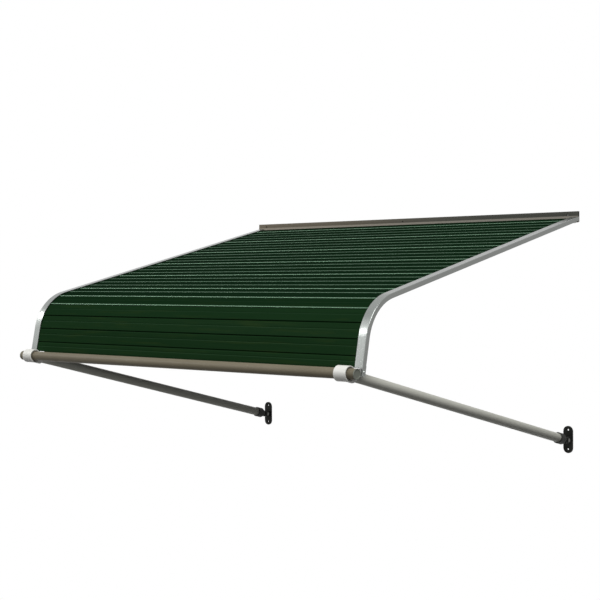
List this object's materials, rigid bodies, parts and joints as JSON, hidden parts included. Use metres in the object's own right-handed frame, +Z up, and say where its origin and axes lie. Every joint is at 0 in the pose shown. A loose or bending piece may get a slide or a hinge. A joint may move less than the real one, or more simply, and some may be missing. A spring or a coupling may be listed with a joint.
{
  "type": "slat door canopy",
  "caption": "Wall-mounted door canopy: roll-formed slats in bent side rails under a wall header, with a front bar, slip tees and stay arms that fold on wall brackets.",
  "frame": {"origin": "middle of the header's back face, on the wall", "axes": "+X along the width, +Y into the wall, so -Y runs out from it, and +Z up"},
  "size_m": [1.2262, 0.9971, 0.6752],
  "materials": {
    "slat": "dark green baked enamel on aluminium sheet, semi-gloss",
    "rail": "satin extruded",
    "header": "dull mill finish, weathered grey brown",
    "tube": "drawn tube, satin",
    "tee": "pale grey moulded",
    "cap": "dark grey green moulded",
    "casting": "black enamel on a casting",
    "screw": "plated"
  },
  "bodies": {
    "canopy": {"header": "header", "side_rail_left": "rail", "side_rail_right": "rail", "slat_01": "slat", "slat_02": "slat", "slat_03": "slat", "slat_04": "slat", "slat_05": "slat", "slat_06": "slat", "slat_07": "slat", "slat_08": "slat", "slat_09": "slat", "slat_10": "slat", "slat_11": "slat", "slat_12": "slat", "slat_13": "slat", "slat_14": "slat", "slat_15": "slat", "slat_16": "slat", "slat_17": "slat", "slat_18": "slat", "slat_19": "slat", "slat_20": "slat", "slat_21": "slat", "slat_22": "slat", "slat_23": "slat", "slat_24": "slat", "slat_25": "slat", "slat_26": "slat", "slat_27": "slat", "bottom_slat": "slat", "front_bar": "tube", "bar_cap_left": "cap", "bar_cap_right": "cap", "bar_bracket_left": "rail", "bar_bracket_right": "rail", "rail_screw_left": "screw", "rail_screw_right": "screw", "tab_screw_left": "screw", "tab_screw_right": "screw", "bar_screw_left": "screw", "bar_screw_right": "screw"},
    "arm_left": {"slip_tee_left": "tee", "tee_set_screw_left": "screw", "stay_arm_left": "tube", "arm_cup_left": "casting", "cup_set_screw_left": "screw", "pivot_bolt_left": "screw", "pivot_nut_left": "screw"},
    "arm_right": {"slip_tee_right": "tee", "tee_set_screw_right": "screw", "stay_arm_right": "tube", "arm_cup_right": "casting", "cup_set_screw_right": "screw", "pivot_bolt_right": "screw", "pivot_nut_right": "screw"},
    "bracket_left": {"wall_bracket_left": "casting"},
    "bracket_right": {"wall_bracket_right": "casting"}
  },
  "joints": [
    {"name": "arm_swing_left", "type": "hinge", "parent": "canopy", "child": "arm_left", "pos_m": [-0.575, -0.97859, -0.38321], "axis": [1, 0, 0], "range_deg": [-90, 2]},
    {"name": "bracket_swing_left", "type": "hinge", "parent": "arm_left", "child": "bracket_left", "pos_m": [-0.575, -0.019, -0.62221], "axis": [1, 0, 0], "range_deg": [-90, 65]},
    {"name": "arm_swing_right", "type": "hinge", "parent": "canopy", "child": "arm_right", "pos_m": [0.575, -0.97859, -0.38321], "axis": [1, 0, 0], "range_deg": [-90, 2]},
    {"name": "bracket_swing_right", "type": "hinge", "parent": "arm_right", "child": "bracket_right", "pos_m": [0.575, -0.019, -0.62221], "axis": [1, 0, 0], "range_deg": [-90, 65]}
  ]
}
